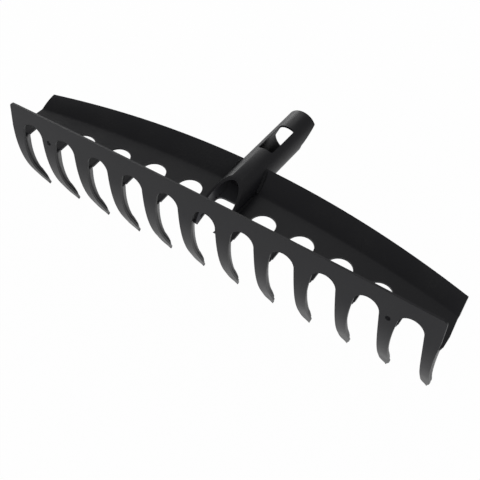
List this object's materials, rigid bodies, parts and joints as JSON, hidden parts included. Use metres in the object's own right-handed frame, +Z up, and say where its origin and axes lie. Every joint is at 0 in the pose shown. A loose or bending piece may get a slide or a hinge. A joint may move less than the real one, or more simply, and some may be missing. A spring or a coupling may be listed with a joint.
{
  "type": "garden rake head",
  "caption": "Steel rake head: two nested pressed combs with curved tines, and a slanted socket tube with a latch window that takes a push-in handle.",
  "frame": {"origin": "under the middle of the head's box, level with the tine tips", "axes": "+X along the comb's width, +Y back along the socket tube, +Z up the front comb's flat band"},
  "size_m": [0.358, 0.1289, 0.0963],
  "materials": {
    "front_coat": "black satin powder coat on pressed steel",
    "rear_coat": "black satin powder coat on pressed steel",
    "tube_coat": "black satin powder coat on steel tube",
    "weld_coat": "black satin powder coat over weld metal"
  },
  "bodies": {
    "root": {"front_comb": "front_coat", "rear_comb": "rear_coat", "stem_tube": "tube_coat", "web_weld_left": "weld_coat", "web_weld_right": "weld_coat", "flange_weld_left": "weld_coat", "flange_weld_right": "weld_coat"}
  },
  "joints": []
}
